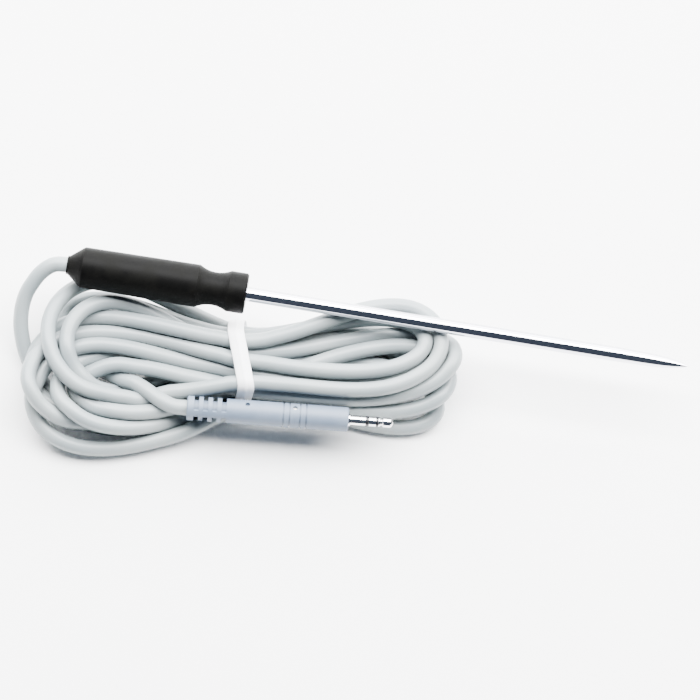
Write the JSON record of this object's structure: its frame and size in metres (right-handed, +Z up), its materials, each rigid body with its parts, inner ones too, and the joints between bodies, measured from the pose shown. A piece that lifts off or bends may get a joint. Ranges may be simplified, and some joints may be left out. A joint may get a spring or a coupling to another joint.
{
  "type": "soil probe",
  "caption": "Pointed steel stab probe with a turned black plastic handle, on a light grey cable bundled with a flat twist tie and ending in a small moulded jack plug.",
  "frame": {"origin": "middle of the handle's front face, where the rod comes out", "axes": "+X along the rod to its point, +Z up from the surface that the bundle lies on"},
  "size_m": [0.1663, 0.0512, 0.0218],
  "materials": {
    "rod_steel": "ground and polished stainless steel",
    "bead_black": "epoxy-dipped bead",
    "bead_resin": "cast resin",
    "wire_insulation": "thin wire insulation",
    "liner": "thin plastic tube",
    "handle_plastic": "turned black plastic, satin",
    "potting_resin": "cast resin",
    "tinned_copper": "crimped tinned copper",
    "shrink_sleeve": "shrink sleeve",
    "core_insulation": "core insulation",
    "drain_wire": "tinned copper wire",
    "stop_ring_brass": "crimped brass ring",
    "seal_rubber": "soft rubber ring",
    "cable_jacket": "light grey soft plastic jacket, slightly glossy",
    "plug_moulding": "blue-grey moulded plastic, satin",
    "inner_moulding": "first-shot moulding",
    "plated_contact": "bright nickel plating",
    "black_insulator": "moulded insulator",
    "solder": "dull solder",
    "tie_plastic": "white plastic ribbon",
    "tie_wire_steel": "soft steel wire"
  },
  "bodies": {
    "root": {"probe_tube": "rod_steel", "probe_point": "rod_steel", "temperature_bead": "bead_black", "bead_resin": "bead_resin", "sensor_wire_a": "wire_insulation", "sensor_wire_b": "wire_insulation", "wire_liner": "liner", "handle": "handle_plastic", "handle_resin": "potting_resin", "splice_tube_a": "tinned_copper", "splice_tube_b": "tinned_copper", "splice_sleeve_a": "shrink_sleeve", "splice_sleeve_b": "shrink_sleeve", "handle_core_a": "core_insulation", "handle_core_b": "core_insulation", "handle_drain_wire": "drain_wire", "cable_stop_ring": "stop_ring_brass", "cable_seal": "seal_rubber", "cable_lead": "cable_jacket", "cable_hank": "cable_jacket", "cable_tail": "cable_jacket", "plug_body": "plug_moulding", "plug_inner_mould": "inner_moulding", "plug_sleeve_contact": "plated_contact", "plug_ring_contact": "plated_contact", "plug_tip_contact": "plated_contact", "plug_ring_insulator": "black_insulator", "plug_tip_insulator": "black_insulator", "plug_core_a": "core_insulation", "plug_core_b": "core_insulation", "plug_drain_wire": "drain_wire", "plug_solder": "solder", "tie_ribbon": "tie_plastic", "tie_wire": "tie_wire_steel"}
  },
  "joints": []
}
